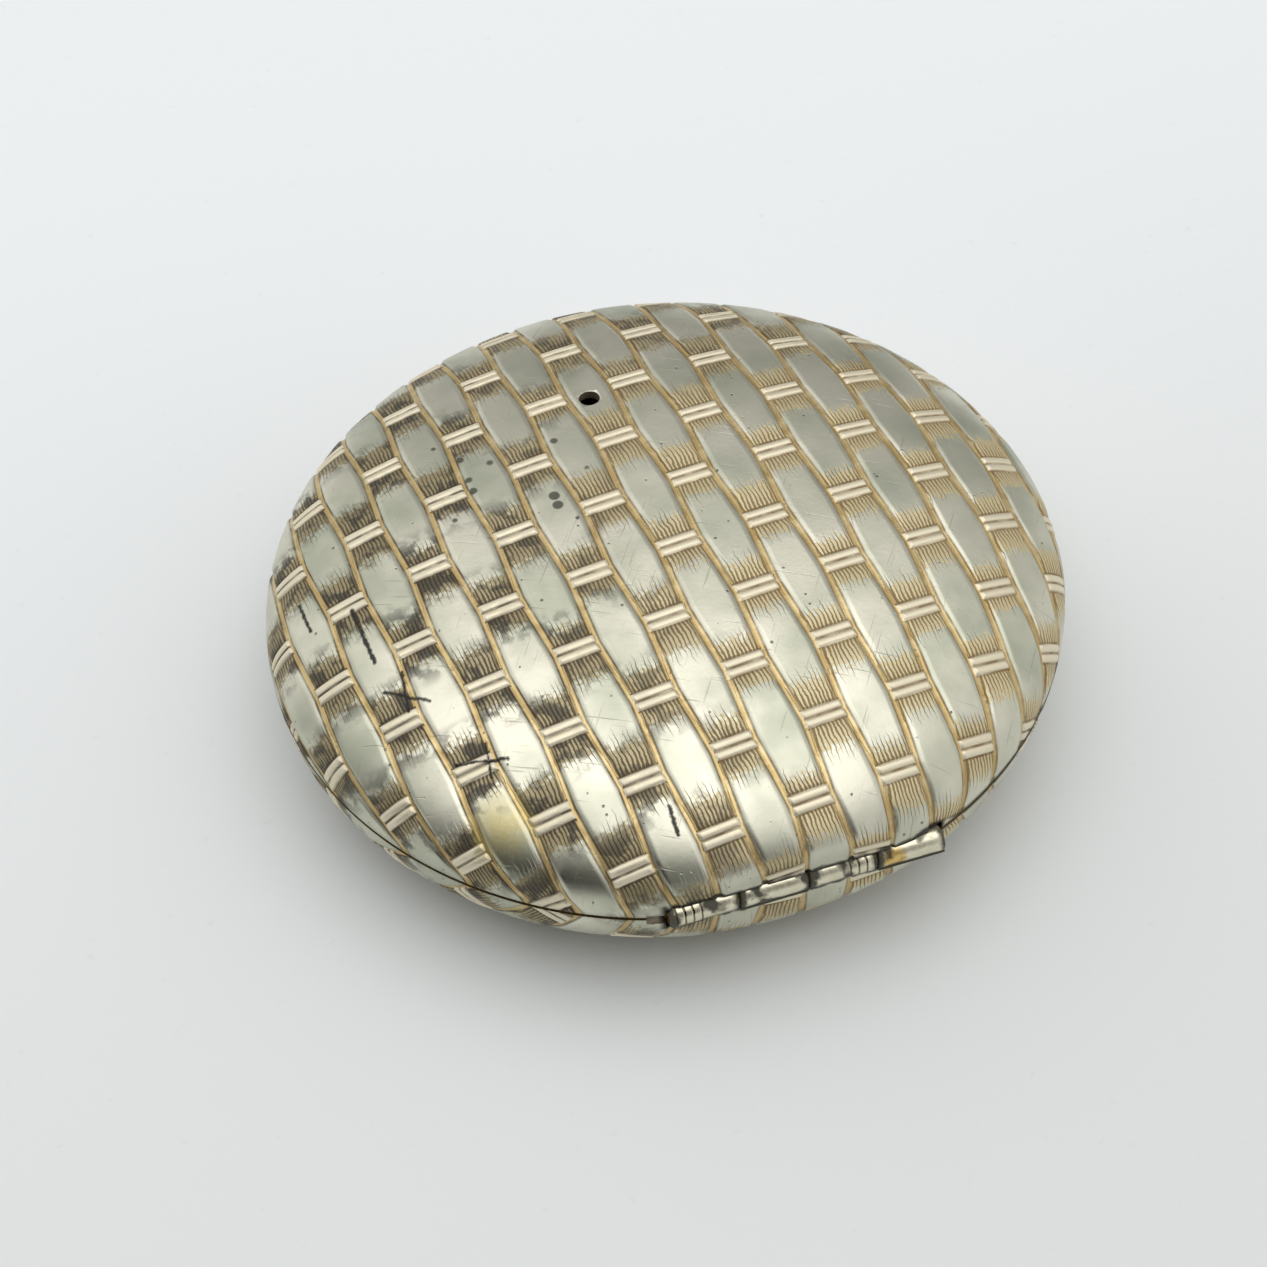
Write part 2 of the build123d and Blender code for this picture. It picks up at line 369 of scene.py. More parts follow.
# Hatching: short tapered cuts, 0.34 mm apart, that start at a bar and run out along the ribbon.
# They drift a little from end to end, and no two are equally long.
cut_pitch = 0.097  # in ribbons
drift = add_node(tree, "ShaderNodeMath", {0: blotch, 1: 1.6, 2: luck}, operation="MULTIPLY_ADD")
cut_at = add_node(
    tree, "ShaderNodeMath", {0: share, 1: 1 / cut_pitch, 2: drift}, operation="MULTIPLY_ADD"
)
cut_number = add_node(tree, "ShaderNodeMath", {0: cut_at}, operation="FLOOR")
cut_middle = add_node(tree, "ShaderNodeMath", {0: cut_at}, operation="FRACT")
cut_middle = add_node(tree, "ShaderNodeMath", {0: cut_middle, 1: 0.5}, operation="SUBTRACT")
cut_middle = add_node(tree, "ShaderNodeMath", {0: cut_middle}, operation="ABSOLUTE")
cut_key = add_node(tree, "ShaderNodeCombineXYZ", {0: cut_number, 1: row, 2: column})
cut_luck = add_node(tree, "ShaderNodeTexWhiteNoise", {"Vector": cut_key}, noise_dimensions="3D")
end_reach = add_node(tree, "ShaderNodeMath", {0: luck, 1: 0.22, 2: 0.17}, operation="MULTIPLY_ADD")
cut_reach = add_node(
    tree, "ShaderNodeMath", {0: cut_luck, 1: 0.15, 2: end_reach}, operation="MULTIPLY_ADD"
)
cut_run = add_node(tree, "ShaderNodeMath", {0: beyond_bar, 1: cut_reach}, operation="DIVIDE")
cut_width = add_node(tree, "ShaderNodeMath", {0: cut_run, 1: -0.27, 2: 0.32}, operation="MULTIPLY_ADD")
cut_edge = add_node(tree, "ShaderNodeMath", {0: cut_width, 1: cut_middle}, operation="SUBTRACT")
hatching = add_node(tree, "ShaderNodeMapRange", {"Value": cut_edge, "From Min": -0.04, "From Max": 0.14})

# Old polish and bare brass around the cuts, with a ragged outer edge
zone_rag = add_node(tree, "ShaderNodeMath", {0: grain, 1: 0.5, 2: -0.22}, operation="MULTIPLY_ADD")
zone_reach = add_node(tree, "ShaderNodeMath", {0: zone_rag, 1: end_reach}, operation="ADD")
zone_depth = add_node(tree, "ShaderNodeMath", {0: zone_reach, 1: beyond_bar}, operation="SUBTRACT")
zone = add_node(tree, "ShaderNodeMapRange", {"Value": zone_depth, "From Min": -0.02, "From Max": 0.07})

# Masks of the bars, the lanes and the dark lines that border both
in_bar = add_node(
    tree, "ShaderNodeMapRange", {"Value": beyond_bar, "From Min": 0.006, "From Max": -0.006}
)
off_bar = add_node(tree, "ShaderNodeMath", {0: 1.0, 1: in_bar}, operation="SUBTRACT")
in_lane = add_node(
    tree, "ShaderNodeMapRange", {"Value": across, "From Min": lane_start, "From Max": lane_start + 0.02}
)
in_lane = add_node(tree, "ShaderNodeMath", {0: in_lane, 1: off_bar}, operation="MULTIPLY")
lane_line = add_node(tree, "ShaderNodeMath", {0: across, 1: lane_start}, operation="SUBTRACT")
lane_line = add_node(tree, "ShaderNodeMath", {0: lane_line}, operation="ABSOLUTE")
lane_line = add_node(
    tree, "ShaderNodeMapRange", {"Value": lane_line, "From Min": 0.03, "From Max": 0.008}
)
bar_line = add_node(tree, "ShaderNodeMath", {0: beyond_bar}, operation="ABSOLUTE")
bar_line = add_node(tree, "ShaderNodeMapRange", {"Value": bar_line, "From Min": 0.026, "From Max": 0.008})
bar_middle = add_node(
    tree, "ShaderNodeMapRange", {"Value": from_bar, "From Min": 0.026, "From Max": 0.01}
)
line_off_bar = add_node(tree, "ShaderNodeMath", {0: lane_line, 1: off_bar}, operation="MULTIPLY")
lines = add_node(tree, "ShaderNodeMath", {0: bar_line, 1: bar_middle}, operation="MAXIMUM")
lines = add_node(tree, "ShaderNodeMath", {0: lines, 1: line_off_bar}, operation="MAXIMUM")
line_wear = add_node(
    tree, "ShaderNodeMapRange", {"Value": blotch, "From Min": 0.3, "From Max": 0.62, "To Min": 0.35}
)
lines = add_node(tree, "ShaderNodeMath", {0: lines, 1: line_wear}, operation="MULTIPLY")

# Round corrosion spots 1.7 mm apart, most of them on the left of the crown, and fine pits all over
spots_middle = Vector((-9.6, 6.2, crown)) * MM
spots_near = add_node(tree, "ShaderNodeVectorMath", {0: place, 1: spots_middle}, operation="DISTANCE")
spot_share = add_node(
    tree, "ShaderNodeMapRange", {"Value": spots_near, "From Min": 17 * MM, "From Max": 5 * MM}
)
spot = add_node(tree, "ShaderNodeTexVoronoi", {"Vector": place, "Scale": 1 / (1.7 * MM)})
spot_luck = add_node(tree, "ShaderNodeSeparateXYZ", {0: spot.node.outputs["Color"]})
spot_size = add_node(tree, "ShaderNodeMath", {0: spot_luck, 1: spot_share}, operation="MULTIPLY")
spot_size = add_node(
    tree,
    "ShaderNodeMapRange",
    {"Value": spot_size, "From Min": 0.2, "From Max": 1.0, "To Min": 0.0, "To Max": 0.3},
)
spot_edge = add_node(tree, "ShaderNodeMath", {0: spot_size, 1: spot}, operation="SUBTRACT")
spots = add_node(tree, "ShaderNodeMapRange", {"Value": spot_edge, "From Min": -0.02, "From Max": 0.05})
pit = add_node(tree, "ShaderNodeTexVoronoi", {"Vector": place, "Scale": 1 / (0.75 * MM)})
pit_luck = add_node(tree, "ShaderNodeSeparateXYZ", {0: pit.node.outputs["Color"]})
pit_size = add_node(
    tree,
    "ShaderNodeMapRange",
    {"Value": pit_luck, "From Min": 0.6, "From Max": 1.0, "To Min": 0.0, "To Max": 0.17},
)
pit_edge = add_node(tree, "ShaderNodeMath", {0: pit_size, 1: pit}, operation="SUBTRACT")
pits = add_node(tree, "ShaderNodeMapRange", {"Value": pit_edge, "From Min": -0.02, "From Max": 0.06})

# Fine scratches 0.16 mm wide and some 5 mm long, in two directions
scratches = 0.0
for scratch_turn, scratch_seed in ((0.6, 0.0), (-1.1, 5.0)):
    combed = add_node(
        tree,
        "ShaderNodeMapping",
        {"Vector": place, "Location": (scratch_seed, 0, 0), "Rotation": (0, 0, scratch_turn)},
    )
    combed = add_node(
        tree,
        "ShaderNodeVectorMath",
        {0: combed, 1: (1 / (0.16 * MM), 1 / (5 * MM), 1 / (5 * MM))},
        operation="MULTIPLY",
    )
    hair = add_node(tree, "ShaderNodeTexNoise", {"Vector": combed, "Scale": 1.0, "Detail": 1.0})
    hair = add_node(tree, "ShaderNodeMapRange", {"Value": hair, "From Min": 0.7, "From Max": 0.78})
    scratches = add_node(tree, "ShaderNodeMath", {0: scratches, 1: hair}, operation="MAXIMUM")

# Deep gouges with black dirt in them, on the left and at the front of the lid: where each starts and
# ends, and half its width
gouges = [
    ((-26.8, 3.9), (-26.6, 1.1), 0.06),
    ((-23.4, 1.1), (-23.0, -4.0), 0.1),
    ((-23.0, -6.6), (-20.2, -8.7), 0.05),
    ((-21.4, -5.5), (-21.8, -8.8), 0.05),
    ((-19.8, -14.0), (-16.4, -15.0), 0.05),
    ((-17.5, -13.3), (-17.8, -15.8), 0.04),
    ((-7.1, -22.0), (-7.1, -23.9), 0.07),
]
above_seam = add_node(
    tree,
    "ShaderNodeMapRange",
    {
        "Value": spot_at.node.outputs["Z"],
        "From Min": (base_edge + 0.5) * MM,
        "From Max": (base_edge + 0.6) * MM,
    },
)
flat_place = add_node(tree, "ShaderNodeVectorMath", {0: place, 1: (1.0, 1.0, 0.0)}, operation="MULTIPLY")
black_cuts = 0.0
for gouge_start, gouge_end, gouge_width in gouges:
    run = Vector(gouge_end) * MM - Vector(gouge_start) * MM
    from_start = add_node(
        tree,
        "ShaderNodeVectorMath",
        {0: flat_place, 1: (gouge_start[0] * MM, gouge_start[1] * MM, 0.0)},
        operation="SUBTRACT",
    )
    along = add_node(
        tree,
        "ShaderNodeVectorMath",
        {0: from_start, 1: (run.x / run.length_squared, run.y / run.length_squared, 0.0)},
        operation="DOT_PRODUCT",
    )
    along = add_node(tree, "ShaderNodeMath", {0: along, 1: 1.0}, operation="MULTIPLY", use_clamp=True)
    nearest = add_node(tree, "ShaderNodeCombineXYZ", {0: run.x, 1: run.y})
    nearest = add_node(tree, "ShaderNodeVectorMath", {0: nearest, "Scale": along}, operation="SCALE")
    away = add_node(tree, "ShaderNodeVectorMath", {0: from_start, 1: nearest}, operation="DISTANCE")
    away = add_node(tree, "ShaderNodeMath", {0: grain, 1: 0.3 * MM, 2: away}, operation="MULTIPLY_ADD")
    gouge = add_node(
        tree,
        "ShaderNodeMapRange",
        {
            "Value": away,
            "From Min": (gouge_width + 0.26) * MM,
            "From Max": (gouge_width + 0.14) * MM,
        },
    )
    gouge = add_node(tree, "ShaderNodeMath", {0: gouge, 1: above_seam}, operation="MULTIPLY")
    black_cuts = add_node(tree, "ShaderNodeMath", {0: black_cuts, 1: gouge}, operation="MAXIMUM")

# Black dirt in clumps on the left, in and around the hatching
clump = add_node(tree, "ShaderNodeMapRange", {"Value": blotch, "From Min": 0.48, "From Max": 0.58})
near_bar = add_node(tree, "ShaderNodeMapRange", {"Value": beyond_bar, "From Min": 0.58, "From Max": 0.22})
clump = add_node(tree, "ShaderNodeMath", {0: clump, 1: near_bar}, operation="MULTIPLY")
clump = add_node(tree, "ShaderNodeMath", {0: clump, 1: grime_side}, operation="MULTIPLY")

# The channel that the hinge lies in, round its pin, with a narrow run-on where the pin went in
pin_low, pin_high = (np.array(corner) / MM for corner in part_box("hinge_pin"))
axis_y, axis_z = (pin_low[1:] + pin_high[1:]) / 2
end_gap = 0.12
channel_radius = 1.1
channel_left = pin_low[0] - end_gap
channel_right = pin_high[0] + end_gap
pocket_left = channel_left - 1.3
pocket_radius = 0.5

# Black polish and painted shade along the hinge's channel, and in the seam on its right: the recess and
# the gap are darkened where shade falls
on_axis = (0.0, axis_y * MM, axis_z * MM)
hinge_at = add_node(tree, "ShaderNodeVectorMath", {0: place, 1: on_axis}, operation="SUBTRACT")
hinge_at = add_node(tree, "ShaderNodeVectorMath", {0: hinge_at, 1: (0.0, 1.0, 1.0)}, operation="MULTIPLY")
hinge_at = add_node(tree, "ShaderNodeVectorMath", {0: hinge_at}, operation="LENGTH")
hinge_at = add_node(
    tree, "ShaderNodeMath", {0: blotch, 1: -1.0 * MM, 2: hinge_at}, operation="MULTIPLY_ADD"
)
hinge_shade_and_polish = add_node(
    tree,
    "ShaderNodeMapRange",
    {
        "Value": hinge_at,
        "From Min": (channel_radius - 0.12) * MM,
        "From Max": (channel_radius - 0.38) * MM,
    },
)
# Painted shade with black polish along the seam between lid and base, strongest on the right
seam_z = (lid_edge + base_edge) / 2
seam_at = add_node(
    tree, "ShaderNodeMath", {0: spot_at.node.outputs["Z"], 1: seam_z * MM}, operation="SUBTRACT"
)
seam_at = add_node(tree, "ShaderNodeMath", {0: seam_at}, operation="ABSOLUTE")
painted_seam_shade = add_node(
    tree, "ShaderNodeMapRange", {"Value": seam_at, "From Min": 0.55 * MM, "From Max": 0.2 * MM}
)
seam_side = add_node(
    tree,
    "ShaderNodeMapRange",
    {"Value": spot_at, "From Min": 2 * MM, "From Max": 14 * MM, "To Min": 0.15},
)
painted_seam_shade = add_node(tree, "ShaderNodeMath", {0: painted_seam_shade, 1: seam_side}, operation="MULTIPLY")
hinge_middle = (channel_left + channel_right) / 2
hinge_half = (channel_right - channel_left) / 2
hinge_span = add_node(tree, "ShaderNodeMath", {0: spot_at, 1: hinge_middle * MM}, operation="SUBTRACT")
hinge_span = add_node(tree, "ShaderNodeMath", {0: hinge_span}, operation="ABSOLUTE")
hinge_span = add_node(
    tree,
    "ShaderNodeMapRange",
    {"Value": hinge_span, "From Min": (hinge_half + 0.5) * MM, "From Max": (hinge_half + 0.1) * MM},
)
hinge_shade_and_polish = add_node(tree, "ShaderNodeMath", {0: hinge_shade_and_polish, 1: hinge_span}, operation="MULTIPLY")
polish_and_shade = add_node(tree, "ShaderNodeMath", {0: hinge_shade_and_polish, 1: painted_seam_shade}, operation="MAXIMUM")

# A yellow-green stain on the left at the front
stain_middle = Vector((-18.2, -19.3, 13.7)) * MM
stain_at = add_node(tree, "ShaderNodeVectorMath", {0: place, 1: stain_middle}, operation="DISTANCE")
stain_at = add_node(
    tree, "ShaderNodeMath", {0: blotch, 1: 3.0 * MM, 2: stain_at}, operation="MULTIPLY_ADD"
)
stain = add_node(
    tree,
    "ShaderNodeMapRange",
    {"Value": stain_at, "From Min": 4.4 * MM, "From Max": 2.2 * MM, "To Max": 0.5},
)

# Colours: fresh and clouded silver, then each mask with its strength and tint over the one before
cloudy = add_node(tree, "ShaderNodeMapRange", {"Value": cloud, "From Min": 0.38, "From Max": 0.66})
grime = add_node(tree, "ShaderNodeMath", {0: grime_side, 1: 0.75}, operation="MULTIPLY")
hatch_brown = add_node(
    tree, "ShaderNodeMix", {0: grime, 6: linear("#866C42"), 7: linear("#231E16")}, data_type="RGBA"
)
patina = add_node(
    tree, "ShaderNodeMix", {0: grime, 6: linear("#D8C99F"), 7: linear("#857654")}, data_type="RGBA"
)
lane_gold = add_node(
    tree, "ShaderNodeMix", {0: line_wear, 6: linear("#E6D3A4"), 7: linear("#C2A974")}, data_type="RGBA"
)
colour = add_node(
    tree, "ShaderNodeMix", {0: cloudy, 6: linear("#D9D6C4"), 7: linear("#B7B9A6")}, data_type="RGBA"
)
layers = [
    (scratches, 0.35, linear("#8F8C7C")),
    (pits, 0.75, linear("#55564A")),
    (spots, 0.9, linear("#46473C")),
    (zone, 0.85, patina),
    (hatching, 0.9, hatch_brown),
    (clump, 0.8, linear("#35322A")),
    (in_bar, 1.0, linear("#E8DFC6")),
    (in_lane, 1.0, lane_gold),
    (lines, 0.9, hatch_brown),
    (stain, 1.0, linear("#C9B44E")),
    # Painted shade with black polish in the hinge's channel and along the seam
    (polish_and_shade, 0.92, linear("#1F1B12")),
    (black_cuts, 0.95, linear("#12110E")),
]
for mask, strength, tint in layers:
    factor = add_node(tree, "ShaderNodeMath", {0: mask, 1: strength}, operation="MULTIPLY")
    colour = add_node(tree, "ShaderNodeMix", {0: factor, 6: colour, 7: tint}, data_type="RGBA")
tree.links.new(colour, plate.inputs["Base Color"])

# The dirt and the painted shade are matt and no metal
dirt_and_shade = add_node(tree, "ShaderNodeMath", {0: hatching, 1: off_bar}, operation="MULTIPLY")
for mask in (lines, clump, black_cuts, spots, polish_and_shade):
    dirt_and_shade = add_node(tree, "ShaderNodeMath", {0: dirt_and_shade, 1: mask}, operation="MAXIMUM")
metal_share = add_node(tree, "ShaderNodeMapRange", {"Value": dirt_and_shade, "To Min": 1.0, "To Max": 0.35})
tree.links.new(metal_share, plate.inputs["Metallic"])
polish = add_node(
    tree, "ShaderNodeMapRange", {"Value": cloud, "From Min": 0.3, "To Min": 0.34, "To Max": 0.48}
)
dull = add_node(tree, "ShaderNodeMath", {0: zone, 1: dirt_and_shade}, operation="MAXIMUM")
finish_roughness = add_node(
    tree, "ShaderNodeMath", {0: dull, 1: 0.16, 2: polish}, operation="MULTIPLY_ADD"
)
tree.links.new(finish_roughness, plate.inputs["Roughness"])

# Cuts, scratches and pits sink in by up to 0.05 mm
relief = add_node(tree, "ShaderNodeMath", {0: scratches, 1: 0.25}, operation="MULTIPLY")
for mask in (hatching, pits, black_cuts):
    relief = add_node(tree, "ShaderNodeMath", {0: relief, 1: mask}, operation="MAXIMUM")
relief = add_node(tree, "ShaderNodeMath", {0: relief, 1: off_bar}, operation="MULTIPLY")
relief = add_node(tree, "ShaderNodeMath", {0: grain, 1: 0.2, 2: relief}, operation="MULTIPLY_ADD")
bump = add_node(
    tree, "ShaderNodeBump", {"Height": relief, "Strength": 0.8, "Distance": 0.05 * MM}, invert=True
)
tree.links.new(bump, plate.inputs["Normal"])

# Gilt: a thin gold wash over brass, rubbed round by a cloth, browner where it has worn
gilt = bpy.data.materials.new("gilt_wash")
gilt.use_nodes = True
tree = gilt.node_tree
wash = tree.nodes["Principled BSDF"]
wash.inputs["Metallic"].default_value = 1.0
place = add_node(tree, "ShaderNodeTexCoord").node.outputs["Object"]
cloud = add_node(tree, "ShaderNodeTexNoise", {"Vector": place, "Scale": 1 / (5 * MM), "Detail": 4.0})
grain = add_node(tree, "ShaderNodeTexNoise", {"Vector": place, "Scale": 1 / (0.3 * MM), "Detail": 2.0})
rubbed = add_node(
    tree,
    "ShaderNodeVectorMath",
    {0: place, 1: (1 / (6 * MM), 1 / (0.2 * MM), 1 / (0.2 * MM))},
    operation="MULTIPLY",
)
hair = add_node(tree, "ShaderNodeTexNoise", {"Vector": rubbed, "Scale": 1.0, "Detail": 2.0})
worn = add_node(tree, "ShaderNodeMapRange", {"Value": cloud, "From Min": 0.52, "From Max": 0.7})
colour = add_node(
    tree, "ShaderNodeMix", {0: worn, 6: linear("#E2BE6E"), 7: linear("#A98349")}, data_type="RGBA"
)
fleck = add_node(tree, "ShaderNodeMapRange", {"Value": grain, "From Min": 0.66, "From Max": 0.74})
colour = add_node(tree, "ShaderNodeMix", {0: fleck, 6: colour, 7: linear("#6E5530")}, data_type="RGBA")

# Painted shade on the outer half of the shells' edges, where they meet: the seam's gap is darkened to
# near black
as_round = (half_depth / half_length, 1.0, 0.0)
seam_band_at = add_node(tree, "ShaderNodeVectorMath", {0: place, 1: as_round}, operation="MULTIPLY")
seam_band_at = add_node(tree, "ShaderNodeVectorMath", {0: seam_band_at}, operation="LENGTH")
seam_outer_half = add_node(
    tree,
    "ShaderNodeMapRange",
    {"Value": seam_band_at, "From Min": (half_depth - 0.6) * MM, "From Max": (half_depth - 0.35) * MM},
)
seam_at = add_node(tree, "ShaderNodeSeparateXYZ", {0: place}).node.outputs["Z"]
seam_at = add_node(tree, "ShaderNodeMath", {0: seam_at, 1: seam_z * MM}, operation="SUBTRACT")
seam_at = add_node(tree, "ShaderNodeMath", {0: seam_at}, operation="ABSOLUTE")
painted_seam_shade = add_node(
    tree, "ShaderNodeMapRange", {"Value": seam_at, "From Min": 0.7 * MM, "From Max": 0.3 * MM}
)
painted_seam_shade = add_node(tree, "ShaderNodeMath", {0: painted_seam_shade, 1: seam_outer_half}, operation="MULTIPLY")
painted_seam_shade = add_node(tree, "ShaderNodeMath", {0: painted_seam_shade, 1: 0.92}, operation="MULTIPLY")
colour = add_node(
    tree, "ShaderNodeMix", {0: painted_seam_shade, 6: colour, 7: linear("#221A10")}, data_type="RGBA"
)
tree.links.new(colour, wash.inputs["Base Color"])
shine = add_node(
    tree, "ShaderNodeMapRange", {"Value": hair, "From Min": 0.3, "To Min": 0.24, "To Max": 0.46}
)
tree.links.new(shine, wash.inputs["Roughness"])
bump = add_node(tree, "ShaderNodeBump", {"Height": hair, "Strength": 0.35, "Distance": 0.03 * MM})
tree.links.new(bump, wash.inputs["Normal"])

lid_skin.data.materials.append(engraved_silver)
lid_skin.data.materials.append(gilt)

# One small hole drilled through the lid, near its opening side
hole_x = -1.4
hole_y = 14.1
hole_radius = 0.8
bpy.ops.object.select_all(action="DESELECT")
bpy.ops.mesh.primitive_cylinder_add(
    vertices=48,
    radius=hole_radius * MM,
    depth=(crown - base_edge) * MM,
    location=(hole_x * MM, hole_y * MM, crown * MM),
)
cut_away(lid_skin, bpy.context.object)


def cut_channel(shell):
    """Cut the hinge's channel along the flat side, and the narrow pocket left of it."""
    pocket_right = channel_left + 0.2
    for left, right, radius in (
        (channel_left, channel_right, channel_radius),
        (pocket_left, pocket_right, pocket_radius),
    ):
        bpy.ops.object.select_all(action="DESELECT")
        bpy.ops.mesh.primitive_cylinder_add(
            vertices=64,
            radius=radius * MM,
            depth=(right - left) * MM,
            location=((left + right) / 2 * MM, axis_y * MM, axis_z * MM),
            rotation=(0, math.pi / 2, 0),
        )
        cut_away(shell, bpy.context.object)


def clear_slivers(shell):
    """Turn a cut shell to triangles, and take out the pairs that lie back to back."""
    bpy.ops.object.mode_set(mode="EDIT")
    bpy.ops.mesh.select_all(action="SELECT")
    bpy.ops.mesh.quads_convert_to_tris(quad_method="FIXED", ngon_method="BEAUTY")
    bpy.ops.mesh.select_all(action="DESELECT")
    bpy.ops.mesh.select_mode(type="FACE")
    bpy.ops.object.mode_set(mode="OBJECT")
    corners = np.empty(len(shell.data.loops), int)
    shell.data.loops.foreach_get("vertex_index", corners)
    corners = np.sort(corners.reshape(-1, 3), axis=1)
    _, alike, times = np.unique(corners, axis=0, return_inverse=True, return_counts=True)
    shell.data.polygons.foreach_set("select", times[alike.ravel()] > 1)
    bpy.ops.object.mode_set(mode="EDIT")
    bpy.ops.mesh.delete(type="FACE")
    bpy.ops.mesh.select_all(action="SELECT")
    bpy.ops.mesh.delete_loose()
    bpy.ops.object.mode_set(mode="OBJECT")


cut_channel(lid_skin)
clear_slivers(lid_skin)
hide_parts("lid_shell")
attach(lid_skin, "lid")

# ----------------------------------------------------------------------
# Base. A round-bellied bowl of the same sheet and finish as the lid, with a flat to stand on. The
# weave is carried on over its side and under it.
foot_reach = 16.0  # half depth of the flat
belly_reach = 22.0  # how far the belly's curve is pulled out at the foot
belly_drop = 6.2  # and down at the edge
side_drop = 0.3  # the side is upright from here
base_section = np.vstack([
    [(0, 0.0)],
    bezier(
        (foot_reach, 0.0),
        (belly_reach, 0.0),
        (half_depth, base_edge - belly_drop),
        (half_depth, base_edge - side_drop),
    ),
    [(half_depth, base_edge - turned_edge)],
])
base_run = run_along(base_section)
base_reach = base_run * lid_reach[-1] / base_run[-1]
base_inside = bezier(
    (inner_depth, base_edge - side_drop),
    (inner_depth, base_edge - belly_drop + sheet),
    (belly_reach - sheet, sheet),
    (foot_reach, sheet),
    steps=12,
)
base_rings = [
    (half_depth - turned_edge * 0.3, base_edge - turned_edge * 0.3, 0.0),
    (half_depth - turned_edge, base_edge, turned_edge),
    (inner_depth, base_edge, sheet),
] + [(radius, height, sheet) for radius, height in base_inside] + [(0.0, sheet, sheet)]
base_skin = woven_shell("base_skin", base_section, base_reach, base_rings)
base_skin.data.materials.append(engraved_silver)
base_skin.data.materials.append(gilt)
cut_channel(base_skin)
clear_slivers(base_skin)
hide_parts("base_shell")
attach(base_skin, "base")

# ----------------------------------------------------------------------
# Hinge. Four short tubes, rolled from plated sheet and soldered by a leaf to the lid and the base in
# turn, ride on one brass wire. They are worn bright, with black polish and painted shade between them and
# painted shade on their undersides.
knuckle_radius = 0.95
knuckle_bore = 0.53
knuckle_wall = knuckle_radius - knuckle_bore
knuckle_round = 0.24  # rounding of a tube's ends
leaf_root = 0.90
leaf_thickness = channel_radius - leaf_root
leaf_round = 0.06
lid_leaf = (80, 112)  # where the lid's leaves start and end, in degrees round the axis
base_leaf = (250, 280)
tube_steps = 44
leaf_steps = 8
dent_depth = 0.04
dent_size = 1.4
corner_angle = math.radians(40)  # edges sharper than this stay crisp


def spin_profile(length, middle, radius, thickness, start, angle, steps, rounding):
    """Ring or part of a ring on the hinge axis, from a rectangle with two rounded corners."""
    wall_middle = radius - thickness / 2
    wall_y = axis_y + wall_middle * math.cos(start)
    wall_z = axis_z + wall_middle * math.sin(start)
    bpy.ops.object.select_all(action="DESELECT")
    bpy.ops.mesh.primitive_plane_add(
        size=MM, location=(middle * MM, wall_y * MM, wall_z * MM), rotation=(start, 0, 0)
    )
    ring = bpy.context.object
    ring.scale = (length, thickness, 1)
    bpy.ops.object.transform_apply(location=True, rotation=True, scale=True)
    mesh = ring.data
    reach = [math.hypot(v.co.y - axis_y * MM, v.co.z - axis_z * MM) for v in mesh.vertices]
    outer = [distance > wall_middle * MM for distance in reach]
    bpy.ops.object.mode_set(mode="EDIT")
    bpy.ops.mesh.select_mode(type="VERT")
    bpy.ops.mesh.select_all(action="DESELECT")
    bpy.ops.object.mode_set(mode="OBJECT")
    mesh.vertices.foreach_set("select", outer)
    bpy.ops.object.mode_set(mode="EDIT")
    bpy.ops.mesh.bevel(offset=rounding * MM, segments=4, affect="VERTICES")
    bpy.ops.mesh.select_all(action="SELECT")
    if angle >= 2 * math.pi:
        bpy.ops.mesh.delete(type="ONLY_FACE")
        bpy.ops.mesh.select_all(action="SELECT")
        bpy.ops.mesh.subdivide(number_cuts=5)
    centre = (middle * MM, axis_y * MM, axis_z * MM)
    bpy.ops.mesh.spin(steps=steps, angle=angle, center=centre, axis=(1, 0, 0))
    bpy.ops.mesh.select_all(action="SELECT")
    bpy.ops.mesh.remove_doubles(threshold=0.001 * MM)
    bpy.ops.mesh.normals_make_consistent(inside=False)
    bpy.ops.object.mode_set(mode="OBJECT")
    return ring


def make_knuckle(name, leaf_start, leaf_end):
    """Dented tube in the place of one CAD knuckle, with a leaf between two angles in degrees."""
    low, high = (np.array(corner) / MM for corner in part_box(name))
    length = high[0] - low[0]
    middle = (low[0] + high[0]) / 2
    tube = spin_profile(
        length, middle, knuckle_radius, knuckle_wall, math.pi, 2 * math.pi, tube_steps, knuckle_round
    )
    dents = bpy.data.textures.new("dents", "CLOUDS")
    dents.noise_scale = dent_size * MM
    bpy.ops.object.modifier_add(type="DISPLACE")
    dent = tube.modifiers[-1]
    dent.texture = dents
    dent.texture_coords = "LOCAL"
    dent.mid_level = 1.0
    dent.strength = dent_depth * MM
    bpy.ops.object.modifier_apply(modifier=dent.name)
    turn_start = math.radians(leaf_start)
    turn_by = math.radians(leaf_end) - turn_start
    leaf = spin_profile(
        length, middle, channel_radius, leaf_thickness, turn_start, turn_by, leaf_steps, leaf_round
    )
    bpy.ops.object.select_all(action="DESELECT")
    leaf.select_set(True)
    tube.select_set(True)
    bpy.context.view_layer.objects.active = tube
    bpy.ops.object.join()
    bpy.ops.object.shade_smooth_by_angle(angle=corner_angle)
    tube.name = name + "_tube"
    tube.data.materials.append(tube_silver)
    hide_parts(name)
    return tube


# Worn silver plate on brass: bright, with greenish black polish and painted shade in the joints, painted
# shade on the tubes' undersides and a rubbed-through brass patch. The lid's tubes keep a stretch of
# upright cuts that carries the hatching on.
tube_silver = bpy.data.materials.new("worn_silver_tube")
tube_silver.use_nodes = True
tree = tube_silver.node_tree
tube_shader = tree.nodes["Principled BSDF"]
place = add_node(tree, "ShaderNodeTexCoord").node.outputs["Object"]
grain = add_node(tree, "ShaderNodeTexNoise", {"Vector": place, "Scale": 1 / (0.5 * MM), "Detail": 3.0})
cloud = add_node(tree, "ShaderNodeTexNoise", {"Vector": place, "Scale": 1 / (1.6 * MM), "Detail": 3.0})
tube_x = add_node(tree, "ShaderNodeSeparateXYZ", {0: place})
tube_z = tube_x.node.outputs["Z"]

